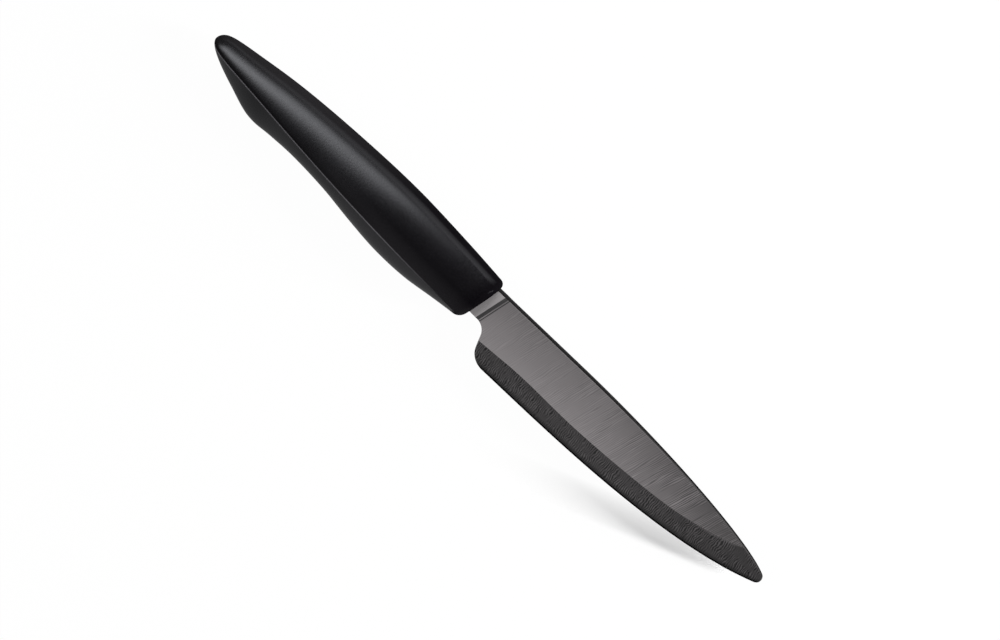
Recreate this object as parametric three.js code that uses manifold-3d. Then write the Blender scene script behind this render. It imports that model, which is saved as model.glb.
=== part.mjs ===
// A kitchen utility knife: a ground ceramic blade bonded into a moulded core, with a soft grip moulded
// over the core. Lengths are in millimetres and angles in degrees. The knife is drawn with x from the
// middle of the handle's front face towards the tip, y towards the spine and z across the blade. It is
// then laid on its side, with its origin on the surface that it lies on, under the middle of its outline.
import * as THREE from "three";
import { mergeVertices } from "three/addons/utils/BufferGeometryUtils.js";
import Module from "manifold-3d";

const wasm = await Module();
wasm.setup();

// Clearance between two pieces that meet.
const FIT_GAP = 0.3;

// Slant of the handle's front face and of the blade's grinding, with the spine side further forward.
const FRONT_SLANT = 11;

// Blade outline: the spine, straight from the handle and then one curve down to the tip.
const BLADE_LENGTH = 120.6;
const SPINE_HEIGHT = 7.36;
const SPINE_STRAIGHT = 36.6;
const SPINE_RISE_ANGLE = 1.5;
const SPINE_TIP_ANGLE = 24;
const SPINE_REAR_REACH = 42;
const SPINE_FRONT_REACH = 9;

// Blade outline: the cutting edge, one curve from the heel to the round tip.
const EDGE_DEPTH = 16.35;
const EDGE_RISE_ANGLE = 2;
const EDGE_TIP_ANGLE = 24;
const EDGE_REAR_REACH = 25;
const EDGE_FRONT_REACH = 32;
const TIP_RADIUS = 2.2;
const TIP_DROP = 0.05;

// Blade outline: the neck ahead of the handle, the hollow under it and the round heel.
const NECK_DEPTH = 4.7;
const CHOIL_START = 2.5;
const CHOIL_RADIUS = 4.8;
const HEEL_ANGLE = 70;
const HEEL_RADIUS = 6.6;

// Blade section: thickness, the step behind the ground face, the wide grind and the keen edge.
const TANG_THICKNESS = 2.3;
const BLADE_THICKNESS = 2;
const TIP_THICKNESS = 1;
const TAPER_START = 40;
const SHOULDER_START = 3.2;
const SHOULDER_RAMP = 0.95;
const LAND_LENGTH = 0.45;
const LAND_HEIGHT = 0.04;
const LAND_RAMP = 0.25;
const EDGE_BEVEL = 0.5;
const EDGE_SHOULDER = 0.3;
const EDGE_THICKNESS = 0.06;
const SPINE_CHAMFER = 0.35;

// Height of the wide grind over the cutting edge: each point is a share of the blade's length from the
// handle, and millimetres there.
const GRIND_LINE = [[0, 6.6], [0.07, 7.05], [0.12, 7.45], [0.17, 7.85], [0.225, 8], [0.28, 7.87],
  [0.38, 7.5], [0.55, 7.5], [0.68, 7.48], [0.73, 7.6], [0.78, 8.05], [0.83, 8.45], [0.88, 9.2],
  [0.93, 10.4], [1, 12.6]];

// Tang inside the handle, and the bond that holds it.
const TANG_LENGTH = 45;
const TANG_TOP = 4.6;
const TANG_BOTTOM = 3.4;
const TANG_CORNER = 2.5;
const KEYHOLE_SETBACK = 30;
const KEYHOLE_DIAMETER = 4.4;
const BOND_THICKNESS = 0.5;

// Handle: overall length, walls of the soft grip, and the posts of grip that pass through the core.
const HANDLE_LENGTH = 114.4;
const NOSE_HEIGHT = -0.3;
const GRIP_SKIN = 1.8;
const FRONT_WALL = 2.2;
const BUTT_WALL = 10;
const FRONT_FILLET = 2.2;
const SLANT_RUN = 30;
const LOCK_DIAMETER = 4.6;
const LOCK_HEIGHT = 0.5;
const LOCK_SETBACKS = [58, 73, 88];

// Handle lines: each point is a share of the handle's length from the butt, and millimetres there.
const TOP_LINE = [[0, NOSE_HEIGHT], [0.02, 2.9], [0.12, 5.4], [0.28, 8.2], [0.5, 10.25], [0.68, 10.95],
  [0.85, 10.25], [1, 9.1]];
const HALF_WIDTH = [[0, 0], [0.02, 3.1], [0.06, 4.6], [0.12, 5.9], [0.23, 7.4], [0.37, 8.5], [0.6, 9.35],
  [0.8, 8.95], [1, 7.7]];
const WIDEST_LINE = [[0, NOSE_HEIGHT], [0.1, -0.4], [0.37, -0.8], [0.6, -1], [0.8, -0.8], [1, -0.2]];
const RIDGE_LINE = [[0, NOSE_HEIGHT], [0.02, -1.8], [0.06, -1.95], [0.12, -1.95], [0.23, -2.2],
  [0.5, -3.7], [0.8, -4.95], [1, -5.6]];
const RIDGE_HALF_WIDTH = [[0, 0], [0.02, 2.5], [0.06, 4.3], [0.12, 5.6], [0.23, 7.05], [0.37, 8],
  [0.6, 8.8], [0.8, 8.4], [1, 6.9]];
const KEEL_LINE = [[0, NOSE_HEIGHT], [0.02, -3.1], [0.115, -8], [0.19, -10.95], [0.23, -11.35],
  [0.28, -10.6], [0.37, -9.65], [0.49, -9.9], [0.6, -11.5], [0.7, -12.45], [0.81, -11.9], [0.91, -9.9],
  [1, -7.9]];
const KEEL_HALF_WIDTH = [[0, 0], [0.02, 1.2], [0.12, 2.2], [0.25, 2.7], [0.37, 4.2], [0.5, 5.1],
  [0.6, 4.9], [0.8, 4.6], [1, 4.2]];

// Share of each lower facet, from the ridge down, that bends the least.
const FACET_STRAIGHT = 0.5;

// Fineness of the faceted surfaces.
const HANDLE_RINGS = 40;
const CAVITY_RINGS = 20;
const CROWN_STEPS = 8;
const FLANK_STEPS = 3;
const KEEL_STEPS = 6;
const FILLET_STEPS = 5;
const CURVE_STEPS = 24;
const ROUND_STEPS = 24;

// Length by which a cutting solid runs past what it cuts, and the height of a cut over the face it cuts.
const OVERSHOOT = 4;
const CUT_CLEARANCE = 1;

// Distance within which two points of a surface are one.
const MERGE_DISTANCE = 1e-4;

const radians = THREE.MathUtils.degToRad;
const slantSlope = Math.tan(radians(FRONT_SLANT));

function bodyFrom(geometry) {
  const bare = geometry.clone();
  bare.deleteAttribute("normal");
  bare.deleteAttribute("uv");
  const merged = mergeVertices(bare, MERGE_DISTANCE);
  const vertProperties = new Float32Array(merged.attributes.position.array);
  const triVerts = new Uint32Array(merged.index.array);
  return new wasm.Manifold(new wasm.Mesh({ numProp: 3, vertProperties, triVerts }));
}

function meshFrom(name, body, material) {
  const { vertProperties, triVerts } = body.getMesh();
  const geometry = new THREE.BufferGeometry();
  geometry.setAttribute("position", new THREE.BufferAttribute(vertProperties, 3));
  geometry.setIndex(new THREE.BufferAttribute(triVerts, 1));
  geometry.computeVertexNormals();
  const mesh = new THREE.Mesh(geometry, material);
  mesh.name = name;
  return mesh;
}

// A closed solid through rings of points that follow one another along x. Each ring turns from y to z.
function loft(rings, rearCentre, frontCentre) {
  const sides = rings[0].length;
  const points = [...rings.flat(), rearCentre, frontCentre];
  const rear = points.length - 2;
  const front = points.length - 1;
  const lastRing = (rings.length - 1) * sides;
  const index = [];
  for (let side = 0; side < sides; side += 1) {
    const next = (side + 1) % sides;
    index.push(rear, next, side);
    index.push(front, lastRing + side, lastRing + next);
    for (let start = 0; start < lastRing; start += sides) {
      index.push(start + side, start + next, start + sides + next);
      index.push(start + side, start + sides + next, start + sides + side);
    }
  }
  const geometry = new THREE.BufferGeometry().setFromPoints(points);
  geometry.setIndex(index);
  return bodyFrom(geometry);
}

function middleOf(ring) {
  const sum = ring.reduce((total, point) => total.add(point), new THREE.Vector3());
  return sum.divideScalar(ring.length);
}

function loftWithFlatEnds(rings) {
  return loft(rings, middleOf(rings[0]), middleOf(rings[rings.length - 1]));
}

function acrossMiddle(rings) {
  return rings.map((ring) => ring.map((point) => new THREE.Vector3(point.x, point.y, -point.z)).reverse());
}

// A smooth line through points, each a place and a height, read at a place between the first and the last.
function smoothLine(points, place) {
  const last = points.length - 1;
  const found = points.findIndex(([at], index) => index > 0 && place <= at);
  const after = found < 0 ? last : found;
  const [rearPlace, rearHeight] = points[after - 1];
  const [frontPlace, frontHeight] = points[after];
  const slopeAt = (index) => {
    const [lowPlace, lowHeight] = points[Math.max(index - 1, 0)];
    const [highPlace, highHeight] = points[Math.min(index + 1, last)];
    return (highHeight - lowHeight) / (highPlace - lowPlace);
  };
  const span = frontPlace - rearPlace;
  const t = (place - rearPlace) / span;
  const rearWeight = (1 + 2 * t) * (1 - t) ** 2;
  const frontWeight = t * t * (3 - 2 * t);
  const rearPull = t * (1 - t) ** 2 * span * slopeAt(after - 1);
  const frontPull = t * t * (t - 1) * span * slopeAt(after);
  return rearHeight * rearWeight + frontHeight * frontWeight + rearPull + frontPull;
}

// A plate of an outline, centred across the blade.
function plate(outline, thickness) {
  const geometry = new THREE.ExtrudeGeometry(outline, {
    depth: thickness,
    bevelEnabled: false,
    curveSegments: CURVE_STEPS,
  });
  geometry.translate(0, 0, -thickness / 2);
  return bodyFrom(geometry);
}

function rodAcross(x, y, diameter, length) {
  const geometry = new THREE.CylinderGeometry(diameter / 2, diameter / 2, length, ROUND_STEPS);
  geometry.rotateX(Math.PI / 2);
  geometry.translate(x, y, 0);
  return bodyFrom(geometry);
}

// Blade.

function heading(degrees) {
  return new THREE.Vector2(Math.cos(radians(degrees)), Math.sin(radians(degrees)));
}

const tipCentre = new THREE.Vector2(BLADE_LENGTH - TIP_RADIUS, -TIP_DROP);

function spineHeightAt(x) {
  return SPINE_HEIGHT + x * Math.tan(radians(SPINE_RISE_ANGLE));
}

function spineCurve() {
  const start = new THREE.Vector2(SPINE_STRAIGHT, spineHeightAt(SPINE_STRAIGHT));
  const end = tipCentre.clone().addScaledVector(heading(90 - SPINE_TIP_ANGLE), TIP_RADIUS);
  const startReach = start.clone().addScaledVector(heading(SPINE_RISE_ANGLE), SPINE_REAR_REACH);
  const endReach = end.clone().addScaledVector(heading(180 - SPINE_TIP_ANGLE), SPINE_FRONT_REACH);
  return new THREE.CubicBezierCurve(start, startReach, endReach, end);
}

// The hollow under the neck, the straight front of that hollow and the round heel, as tangent stretches.
function heelShape() {
  const slope = heading(90 - HEEL_ANGLE);
  const choilCentre = new THREE.Vector2(CHOIL_START, -NECK_DEPTH - CHOIL_RADIUS);
  const choilEnd = choilCentre.clone().addScaledVector(slope, CHOIL_RADIUS);
  const heelCentreY = HEEL_RADIUS * Math.cos(radians(EDGE_RISE_ANGLE)) - EDGE_DEPTH;
  const heelStartY = heelCentreY - HEEL_RADIUS * slope.y;
  const straight = (choilEnd.y - heelStartY) / Math.sin(radians(HEEL_ANGLE));
  const heelStart = choilEnd.clone().addScaledVector(heading(-HEEL_ANGLE), straight);
  const heelCentre = heelStart.clone().addScaledVector(slope, HEEL_RADIUS);
  const edgeStart = heelCentre.clone().addScaledVector(heading(EDGE_RISE_ANGLE - 90), HEEL_RADIUS);
  return { choilCentre, heelCentre, heelStart, edgeStart };
}

function edgeCurve() {
  const start = heelShape().edgeStart;
  const end = tipCentre.clone().addScaledVector(heading(EDGE_TIP_ANGLE - 90), TIP_RADIUS);
  const startReach = start.clone().addScaledVector(heading(EDGE_RISE_ANGLE), EDGE_REAR_REACH);
  const endReach = end.clone().addScaledVector(heading(EDGE_TIP_ANGLE), -EDGE_FRONT_REACH);
  return new THREE.CubicBezierCurve(start, startReach, endReach, end);
}

function neckRear(y) {
  return y * slantSlope - FRONT_WALL;
}

const tangEnd = -FRONT_WALL - TANG_LENGTH;
const keyholeHeight = (TANG_TOP - TANG_BOTTOM) / 2;

function bladeOutline() {
  const { choilCentre, heelCentre, heelStart } = heelShape();
  const edge = edgeCurve();
  const spine = spineCurve();
  const outline = new THREE.Shape();
  outline.moveTo(tangEnd + TANG_CORNER, -TANG_BOTTOM);
  outline.lineTo(neckRear(-TANG_BOTTOM), -TANG_BOTTOM);
  outline.lineTo(neckRear(-NECK_DEPTH), -NECK_DEPTH);
  outline.lineTo(CHOIL_START, -NECK_DEPTH);
  outline.absarc(choilCentre.x, choilCentre.y, CHOIL_RADIUS, radians(90), radians(90 - HEEL_ANGLE), true);
  outline.lineTo(heelStart.x, heelStart.y);
  const heelFrom = radians(270 - HEEL_ANGLE);
  const heelTo = radians(270 + EDGE_RISE_ANGLE);
  outline.absarc(heelCentre.x, heelCentre.y, HEEL_RADIUS, heelFrom, heelTo);
  outline.bezierCurveTo(edge.v1.x, edge.v1.y, edge.v2.x, edge.v2.y, edge.v3.x, edge.v3.y);
  const tipFrom = radians(EDGE_TIP_ANGLE - 90);
  const tipTo = radians(90 - SPINE_TIP_ANGLE);
  outline.absarc(tipCentre.x, tipCentre.y, TIP_RADIUS, tipFrom, tipTo);
  outline.bezierCurveTo(spine.v2.x, spine.v2.y, spine.v1.x, spine.v1.y, spine.v0.x, spine.v0.y);
  outline.lineTo(neckRear(SPINE_HEIGHT), spineHeightAt(neckRear(SPINE_HEIGHT)));
  outline.lineTo(neckRear(TANG_TOP), TANG_TOP);
  outline.lineTo(tangEnd + TANG_CORNER, TANG_TOP);
  outline.absarc(tangEnd + TANG_CORNER, TANG_TOP - TANG_CORNER, TANG_CORNER, radians(90), radians(180));
  outline.absarc(tangEnd + TANG_CORNER, TANG_CORNER - TANG_BOTTOM, TANG_CORNER, radians(180), radians(270));
  const keyhole = new THREE.Path();
  keyhole.absarc(-KEYHOLE_SETBACK, keyholeHeight, KEYHOLE_DIAMETER / 2, 0, radians(360));
  outline.holes.push(keyhole);
  return outline;
}

// Half of the thickness along the blade, before its grinding is slanted.
const landStart = SHOULDER_START + SHOULDER_RAMP;
const landEnd = landStart + LAND_LENGTH;
const tipTaper = (BLADE_THICKNESS - TIP_THICKNESS) / (BLADE_LENGTH - TAPER_START);
const halfThicknessLine = [
  [tangEnd - OVERSHOOT, TANG_THICKNESS / 2],
  [SHOULDER_START, TANG_THICKNESS / 2],
  [landStart, BLADE_THICKNESS / 2 + LAND_HEIGHT],
  [landEnd, BLADE_THICKNESS / 2 + LAND_HEIGHT],
  [landEnd + LAND_RAMP, BLADE_THICKNESS / 2],
  [TAPER_START, BLADE_THICKNESS / 2],
  [BLADE_LENGTH + OVERSHOOT, (TIP_THICKNESS - tipTaper * OVERSHOOT) / 2],
];

function halfThicknessAt(x, y) {
  const along = x - y * slantSlope;
  const last = halfThicknessLine.length - 1;
  const found = halfThicknessLine.findIndex(([station]) => station >= along);
  const after = found < 1 ? last : found;
  const [rearX, rearHalf] = halfThicknessLine[after - 1];
  const [frontX, frontHalf] = halfThicknessLine[after];
  return THREE.MathUtils.mapLinear(along, rearX, frontX, rearHalf, frontHalf);
}

// The solid between the two ground faces, taller than the blade and slanted as the grinding is.
function faceSolid() {
  const top = SPINE_HEIGHT + SPINE_STRAIGHT * Math.tan(radians(SPINE_RISE_ANGLE)) + OVERSHOOT;
  const bottom = EDGE_DEPTH + OVERSHOOT;
  const near = halfThicknessLine.map(([x, half]) => new THREE.Vector2(x, -half));
  const far = halfThicknessLine.map(([x, half]) => new THREE.Vector2(x, half)).reverse();
  const geometry = new THREE.ExtrudeGeometry(new THREE.Shape([...near, ...far]), {
    depth: top + bottom,
    bevelEnabled: false,
  });
  geometry.rotateX(Math.PI / 2);
  geometry.translate(0, top, 0);
  geometry.applyMatrix4(new THREE.Matrix4().makeShear(0, 0, slantSlope, 0, 0, 0));
  return bodyFrom(geometry);
}

function grindHeightAt(x) {
  return smoothLine(GRIND_LINE, THREE.MathUtils.clamp(x / BLADE_LENGTH, 0, 1));
}

// What the wide grind and the keen edge take off one side.
function grindRings() {
  const edge = edgeCurve();
  const points = edge.getPoints(CURVE_STEPS);
  const rear = edge.v0.clone().addScaledVector(heading(EDGE_RISE_ANGLE), -edge.v0.x);
  const front = edge.v3.clone().addScaledVector(heading(EDGE_TIP_ANGLE), OVERSHOOT);
  return [rear, ...points, front].map(({ x, y }) => {
    const grindTop = y + grindHeightAt(x);
    const half = halfThicknessAt(x, grindTop);
    const keenTop = y + EDGE_BEVEL;
    const spread = (grindTop - keenTop) / (half - EDGE_SHOULDER / 2);
    return [
      new THREE.Vector3(x, y - OVERSHOOT, half + CUT_CLEARANCE),
      new THREE.Vector3(x, y - OVERSHOOT, EDGE_THICKNESS / 2),
      new THREE.Vector3(x, y, EDGE_THICKNESS / 2),
      new THREE.Vector3(x, keenTop, EDGE_SHOULDER / 2),
      new THREE.Vector3(x, grindTop + spread * CUT_CLEARANCE, half + CUT_CLEARANCE),
    ];
  });
}

// What the small chamfer along the spine takes off one side.
function spineChamferRings() {
  const rear = new THREE.Vector2(-SPINE_STRAIGHT, spineHeightAt(-SPINE_STRAIGHT));
  return [rear, ...spineCurve().getPoints(CURVE_STEPS)].map(({ x, y }) => {
    const half = halfThicknessAt(x, y);
    return [
      new THREE.Vector3(x, y - SPINE_CHAMFER - CUT_CLEARANCE, half + CUT_CLEARANCE),
      new THREE.Vector3(x, y + CUT_CLEARANCE, half - SPINE_CHAMFER - CUT_CLEARANCE),
      new THREE.Vector3(x, y + CUT_CLEARANCE, half + CUT_CLEARANCE),
    ];
  });
}

function blade() {
  let body = plate(bladeOutline(), TANG_THICKNESS + BLADE_THICKNESS).intersect(faceSolid());
  for (const rings of [grindRings(), spineChamferRings()]) {
    body = body.subtract(loftWithFlatEnds(rings));
    body = body.subtract(loftWithFlatEnds(acrossMiddle(rings)));
  }
  return body;
}

// Handle.

// A handle line, read at a share of the handle's length. It runs in the square root of the share, so that
// the butt closes in a round nose.
function lineAt(line, share) {
  const points = line.map(([at, height]) => [Math.sqrt(at), height]);
  return smoothLine(points, Math.sqrt(share));
}

// One side of the handle's section, from the top to the keel, as points whose x is the height y and whose
// y is the width z.
function halfSection(share) {
  const top = lineAt(TOP_LINE, share);
  const half = lineAt(HALF_WIDTH, share);
  const widest = lineAt(WIDEST_LINE, share);
  const ridge = new THREE.Vector2(lineAt(RIDGE_LINE, share), lineAt(RIDGE_HALF_WIDTH, share));
  const keel = new THREE.Vector2(lineAt(KEEL_LINE, share), 0);
  const keelSide = new THREE.Vector2(keel.x, lineAt(KEEL_HALF_WIDTH, share));
  const crown = new THREE.EllipseCurve(widest, 0, top - widest, half, 0, radians(90));
  const flankBend = new THREE.Vector2((widest + ridge.x) / 2, half);
  const flank = new THREE.QuadraticBezierCurve(new THREE.Vector2(widest, half), flankBend, ridge);
  const facetMiddle = ridge.clone().lerp(keelSide, FACET_STRAIGHT);
  const facet = new THREE.CubicBezierCurve(ridge, facetMiddle, keelSide, keel);
  return [
    ...crown.getPoints(CROWN_STEPS),
    ...flank.getPoints(FLANK_STEPS).slice(1),
    ...facet.getPoints(KEEL_STEPS).slice(1),
  ];
}

// The whole section at a place along x, drawn in from the handle's surface by an inset.
function sectionRing(x, inset) {
  const side = halfSection(1 + x / HANDLE_LENGTH);
  const otherSide = side.slice(1, -1).reverse().map((point) => new THREE.Vector2(point.x, -point.y));
  const outline = [...side, ...otherSide];
  const count = outline.length;
  return outline.map((point, at) => {
    const before = outline[(at + count - 1) % count];
    const after = outline[(at + 1) % count];
    const along = after.clone().sub(before).normalize();
    const y = point.x - along.y * inset;
    const z = point.y + along.x * inset;
    return new THREE.Vector3(x + y * slantSlope * slantShareAt(x), y, z);
  });
}

// The sections lean as the front face does at the front, and stand square from SLANT_RUN back.
function slantShareAt(x) {
  return THREE.MathUtils.smoothstep(x, -SLANT_RUN, -FRONT_WALL - 2 * FIT_GAP);
}

// Stations along x that are closer together towards the butt.
function stations(rearX, frontX, count) {
  const rear = Math.sqrt(rearX + HANDLE_LENGTH);
  const front = Math.sqrt(frontX + HANDLE_LENGTH);
  const steps = Array.from({ length: count + 1 }, (_, at) => at / count);
  return steps.map((step) => THREE.MathUtils.lerp(rear, front, step) ** 2 - HANDLE_LENGTH);
}

function handleOutside() {
  const places = stations(-HANDLE_LENGTH, -FRONT_FILLET, HANDLE_RINGS).slice(1);
  const rings = places.map((x) => sectionRing(x, 0));
  for (let step = 1; step <= FILLET_STEPS; step += 1) {
    const turn = radians(90 * step / FILLET_STEPS);
    const x = FRONT_FILLET * (Math.sin(turn) - 1);
    rings.push(sectionRing(x, FRONT_FILLET * (1 - Math.cos(turn))));
  }
  const nose = new THREE.Vector3(-HANDLE_LENGTH, NOSE_HEIGHT, 0);
  return loft(rings, nose, middleOf(rings[rings.length - 1]));
}

function handleInside(clearance) {
  const rearX = BUTT_WALL + clearance - HANDLE_LENGTH;
  const frontX = -FRONT_WALL - clearance;
  const places = stations(rearX, frontX, CAVITY_RINGS);
  return loftWithFlatEnds(places.map((x) => sectionRing(x, GRIP_SKIN + clearance)));
}

// The slot through the front wall: the neck's own section, grown by the clearance.
function neckSlot() {
  const bottom = -NECK_DEPTH - FIT_GAP;
  const top = spineHeightAt(neckRear(SPINE_HEIGHT) + FRONT_WALL) + FIT_GAP;
  const front = FRONT_WALL + OVERSHOOT;
  const outline = new THREE.Shape();
  outline.moveTo(neckRear(bottom) - FIT_GAP, bottom);
  outline.lineTo(front, bottom);
  outline.lineTo(front, top);
  outline.lineTo(neckRear(top) - FIT_GAP, top);
  return plate(outline, TANG_THICKNESS + 2 * FIT_GAP);
}

function softGrip() {
  let body = handleOutside().subtract(handleInside(0)).subtract(neckSlot());
  for (const setback of LOCK_SETBACKS) {
    const halfLength = lineAt(HALF_WIDTH, 1 - setback / HANDLE_LENGTH) - GRIP_SKIN / 2;
    body = body.add(rodAcross(-setback, LOCK_HEIGHT, LOCK_DIAMETER, 2 * halfLength));
  }
  return body;
}

// The tang's own outline grown all round, as a plate that runs out past the front of the core.
function tangPlate(growth) {
  const rear = tangEnd + TANG_CORNER;
  const corner = TANG_CORNER + growth;
  const front = OVERSHOOT;
  const outline = new THREE.Shape();
  outline.moveTo(rear, -TANG_BOTTOM - growth);
  outline.lineTo(front, -TANG_BOTTOM - growth);
  outline.lineTo(front, TANG_TOP + growth);
  outline.lineTo(rear, TANG_TOP + growth);
  outline.absarc(rear, TANG_TOP - TANG_CORNER, corner, radians(90), radians(180));
  outline.absarc(rear, TANG_CORNER - TANG_BOTTOM, corner, radians(180), radians(270));
  return plate(outline, TANG_THICKNESS + 2 * growth);
}

function handleCore() {
  let body = handleInside(FIT_GAP).subtract(tangPlate(BOND_THICKNESS + 2 * FIT_GAP));
  for (const setback of LOCK_SETBACKS) {
    body = body.subtract(rodAcross(-setback, LOCK_HEIGHT, LOCK_DIAMETER + 2 * FIT_GAP, HANDLE_LENGTH));
  }
  return body;
}

function tangBond() {
  const keyLength = TANG_THICKNESS + 2 * FIT_GAP + BOND_THICKNESS;
  const key = rodAcross(-KEYHOLE_SETBACK, keyholeHeight, KEYHOLE_DIAMETER - 2 * FIT_GAP, keyLength);
  const sleeve = tangPlate(FIT_GAP + BOND_THICKNESS).subtract(tangPlate(FIT_GAP)).add(key);
  return sleeve.intersect(handleInside(FIT_GAP));
}

const ceramic = new THREE.MeshStandardMaterial({ color: 0x6c6869, roughness: 0.42, metalness: 0.25 });
const resin = new THREE.MeshStandardMaterial({ color: 0xb8ae94, roughness: 0.5, metalness: 0 });
const hardPlastic = new THREE.MeshStandardMaterial({ color: 0x2b2b2d, roughness: 0.55, metalness: 0 });
const softPlastic = new THREE.MeshStandardMaterial({ color: 0x19191a, roughness: 0.62, metalness: 0 });

const knife = new THREE.Group();
knife.add(meshFrom("blade", blade(), ceramic));
knife.add(meshFrom("tang_bond", tangBond(), resin));
knife.add(meshFrom("handle_core", handleCore(), hardPlastic));
knife.add(meshFrom("soft_grip", softGrip(), softPlastic));

const bounds = new THREE.Box3().setFromObject(knife);
const middle = bounds.getCenter(new THREE.Vector3());
knife.position.set(-middle.x, -middle.y, -bounds.min.z);

const part = new THREE.Group();
part.add(knife);

export default part;
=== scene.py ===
import math

import bmesh
import bpy
import numpy as np
from mathutils import Matrix, Vector


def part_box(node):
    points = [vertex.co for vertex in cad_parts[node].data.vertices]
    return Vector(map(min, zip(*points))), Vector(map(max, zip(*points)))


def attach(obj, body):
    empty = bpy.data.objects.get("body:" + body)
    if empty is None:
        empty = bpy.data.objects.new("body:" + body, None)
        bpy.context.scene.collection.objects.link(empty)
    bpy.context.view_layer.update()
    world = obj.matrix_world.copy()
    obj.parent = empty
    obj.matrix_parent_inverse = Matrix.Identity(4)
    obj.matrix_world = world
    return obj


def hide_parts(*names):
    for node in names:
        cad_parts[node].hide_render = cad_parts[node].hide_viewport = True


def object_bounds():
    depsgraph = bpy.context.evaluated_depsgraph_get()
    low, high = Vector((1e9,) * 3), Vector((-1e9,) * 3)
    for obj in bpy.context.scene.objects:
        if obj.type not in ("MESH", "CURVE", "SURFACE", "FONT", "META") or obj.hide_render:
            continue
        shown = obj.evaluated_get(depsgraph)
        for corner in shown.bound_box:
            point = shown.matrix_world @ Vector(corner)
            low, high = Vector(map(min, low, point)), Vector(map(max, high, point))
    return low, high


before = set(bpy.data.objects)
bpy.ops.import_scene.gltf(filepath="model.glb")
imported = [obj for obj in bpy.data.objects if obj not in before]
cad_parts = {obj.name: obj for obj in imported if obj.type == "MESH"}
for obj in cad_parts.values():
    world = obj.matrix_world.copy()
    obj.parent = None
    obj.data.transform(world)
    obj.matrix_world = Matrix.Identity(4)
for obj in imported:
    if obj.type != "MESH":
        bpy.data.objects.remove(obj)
cad_low, cad_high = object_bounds()

# Sizes are in millimetres and angles in degrees. x runs from the middle of the handle's front face to the
# tip, y to the spine and z across the blade.
MM = 0.001
FIT_GAP = 0.3
FRONT_SLANT = 11

# Blade
BLADE_LENGTH = 120.6
SPINE_HEIGHT = 7.36
SPINE_STRAIGHT = 36.6
SPINE_RISE_ANGLE = 1.5
SPINE_TIP_ANGLE = 24
SPINE_REAR_REACH = 42
SPINE_FRONT_REACH = 9
EDGE_DEPTH = 16.345
EDGE_RISE_ANGLE = 2
EDGE_TIP_ANGLE = 24
EDGE_REAR_REACH = 25
EDGE_FRONT_REACH = 32
TIP_RADIUS = 2.2
TIP_DROP = 0.05
NECK_DEPTH = 4.7
CHOIL_START = 2.5
CHOIL_RADIUS = 4.8
HEEL_ANGLE = 70
HEEL_RADIUS = 6.6
TANG_THICKNESS = 2.3
BLADE_THICKNESS = 2
TIP_THICKNESS = 1
TAPER_START = 40
SHOULDER_START = 2.95
SHOULDER_RAMP = 1.15
LAND_LENGTH = 0.35
LAND_HEIGHT = 0.04
LAND_RAMP = 0.35
LAND_START = SHOULDER_START + SHOULDER_RAMP
LAND_END = LAND_START + LAND_LENGTH
FACE_START = LAND_END + LAND_RAMP
EDGE_BEVEL = 0.6
EDGE_SHOULDER = 0.3
EDGE_THICKNESS = 0.06
SPINE_CHAMFER = 0.42
CHAMFER_SHARE = 0.15
TANG_LENGTH = 45
TANG_TOP = 4.6
TANG_BOTTOM = 3.4
TANG_CORNER = 2.5
TANG_STEP_RUN = 0.05
KEYHOLE_SETBACK = 30
KEYHOLE_DIAMETER = 4.4
BOND_THICKNESS = 0.5

# Height of the wide grind over the edge: each point is a share of the blade's length, and millimetres there.
GRIND_LINE = [(0, 6.6), (0.07, 7.05), (0.12, 7.45), (0.17, 7.85), (0.225, 8), (0.28, 7.87), (0.38, 7.5),
              (0.55, 7.5), (0.68, 7.48), (0.73, 7.6), (0.78, 8.05), (0.83, 8.45), (0.88, 9.2), (0.93, 10.4),
              (1, 12.6)]

# Handle
HANDLE_LENGTH = 114.4
NOSE_HEIGHT = -0.3
GRIP_SKIN = 1.8
FRONT_WALL = 2.2
BUTT_WALL = 10
FRONT_FILLET = 2.2
SLANT_RUN = 30
LOCK_DIAMETER = 4.6
LOCK_HEIGHT = 0.5
LOCK_SETBACKS = [58, 73, 88]
SURFACE_INSET = 0.01

# Handle lines: each point is a share of the handle's length from the butt, and millimetres there.
HANDLE_LINES = {
    "top": [(0, NOSE_HEIGHT), (0.02, 2.9), (0.12, 5.4), (0.28, 8.2), (0.5, 10.25), (0.68, 10.95),
            (0.85, 10.25), (1, 9.1)],
    "half_width": [(0, 0), (0.02, 3.1), (0.06, 4.6), (0.12, 5.9), (0.23, 7.4), (0.37, 8.5), (0.6, 9.35),
                   (0.8, 8.95), (1, 7.7)],
    "widest": [(0, NOSE_HEIGHT), (0.1, -0.4), (0.37, -0.8), (0.6, -1), (0.8, -0.8), (1, -0.2)],
    "ridge": [(0, NOSE_HEIGHT), (0.02, -1.8), (0.06, -1.95), (0.12, -1.95), (0.23, -2.2), (0.5, -3.7),
              (0.8, -4.95), (1, -5.6)],
    "ridge_half_width": [(0, 0), (0.02, 2.5), (0.06, 4.3), (0.12, 5.6), (0.23, 7.05), (0.37, 8), (0.6, 8.8),
                         (0.8, 8.4), (1, 6.9)],
    "keel": [(0, NOSE_HEIGHT), (0.02, -3.1), (0.115, -8), (0.19, -10.95), (0.23, -11.35), (0.28, -10.6),
             (0.37, -9.65), (0.49, -9.9), (0.6, -11.5), (0.7, -12.45), (0.81, -11.9), (0.91, -9.9),
             (1, -7.9)],
    "keel_half_width": [(0, 0), (0.02, 1.2), (0.12, 2.2), (0.25, 2.7), (0.37, 4.2), (0.5, 5.1), (0.6, 4.9),
                        (0.8, 4.6), (1, 4.2)],
}

# Shares of the way round one side of the handle: the ends of its crown and flank, and the ridge's rounding.
CROWN_END = 8 / 17
FLANK_END = 11 / 17
RIDGE_ROUND = 0.018

# How the facet from the ridge to the keel bulges: parts of a cubic curve's middle weights.
FACET_BOW = 1.5
FACET_SWEEP = 3

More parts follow.
